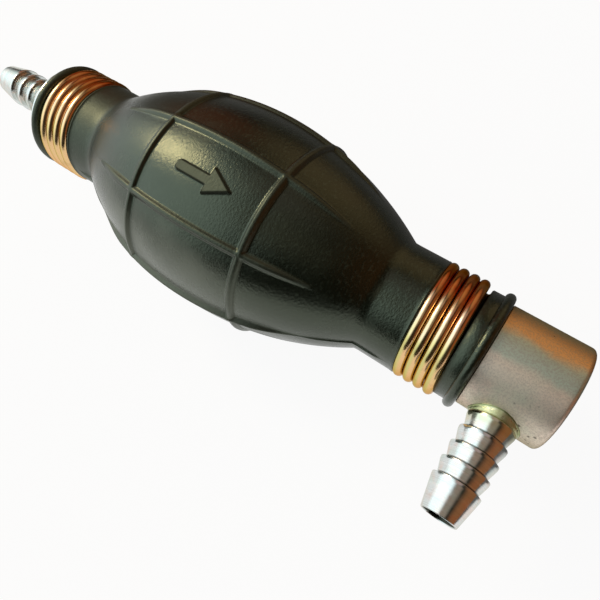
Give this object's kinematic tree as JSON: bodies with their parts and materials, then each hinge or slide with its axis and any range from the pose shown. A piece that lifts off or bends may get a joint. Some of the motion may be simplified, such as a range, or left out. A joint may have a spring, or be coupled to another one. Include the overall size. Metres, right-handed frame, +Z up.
{
  "type": "siphon bulb pump",
  "caption": "Hand siphon pump: ribbed rubber bulb between two steel ball-valve ends, straight hose tail at the inlet and right-angle hose tail at the outlet.",
  "frame": {"origin": "on the pump's axis at the mouth of the inlet tail", "axes": "+X along the pump in the direction of flow, -Y along the outlet tail towards its mouth, +Z up"},
  "size_m": [0.1718, 0.0602, 0.0522],
  "materials": {
    "rubber": "satin moulded rubber",
    "zinc_plate": "bright turned zinc plate",
    "gold_wire": "yellow passivated zinc",
    "passivated_steel": "satin yellow passivated zinc",
    "braze": "plated braze fillet",
    "ball_steel": "polished",
    "spring_steel": "drawn wire"
  },
  "bodies": {
    "pump": {"bulb": "rubber", "outlet_body": "passivated_steel", "outlet_tail": "zinc_plate", "outlet_braze": "braze", "outlet_clamp": "gold_wire", "outlet_seat": "zinc_plate", "outlet_spring": "spring_steel"},
    "inlet_end": {"inlet_fitting": "zinc_plate", "inlet_clamp": "gold_wire", "inlet_spring": "spring_steel", "inlet_retainer": "zinc_plate"},
    "inlet_valve": {"inlet_ball": "ball_steel"},
    "outlet_valve": {"outlet_ball": "ball_steel"}
  },
  "joints": [
    {"name": "bulb_squeeze", "type": "slide", "parent": "pump", "child": "inlet_end", "axis": [-1, 0, 0], "range_m": [0, 0.0035], "stiffness_N_per_m": 3000, "deforming": ["bulb"]},
    {"name": "inlet_ball_lift", "type": "slide", "parent": "inlet_end", "child": "inlet_valve", "axis": [1, 0, 0], "range_m": [0, 0.0025], "stiffness_N_per_m": 60, "springref_m": -0.003, "deforming": ["inlet_spring"]},
    {"name": "outlet_ball_lift", "type": "slide", "parent": "pump", "child": "outlet_valve", "axis": [1, 0, 0], "range_m": [0, 0.0025], "stiffness_N_per_m": 60, "springref_m": -0.003, "deforming": ["outlet_spring"]}
  ]
}
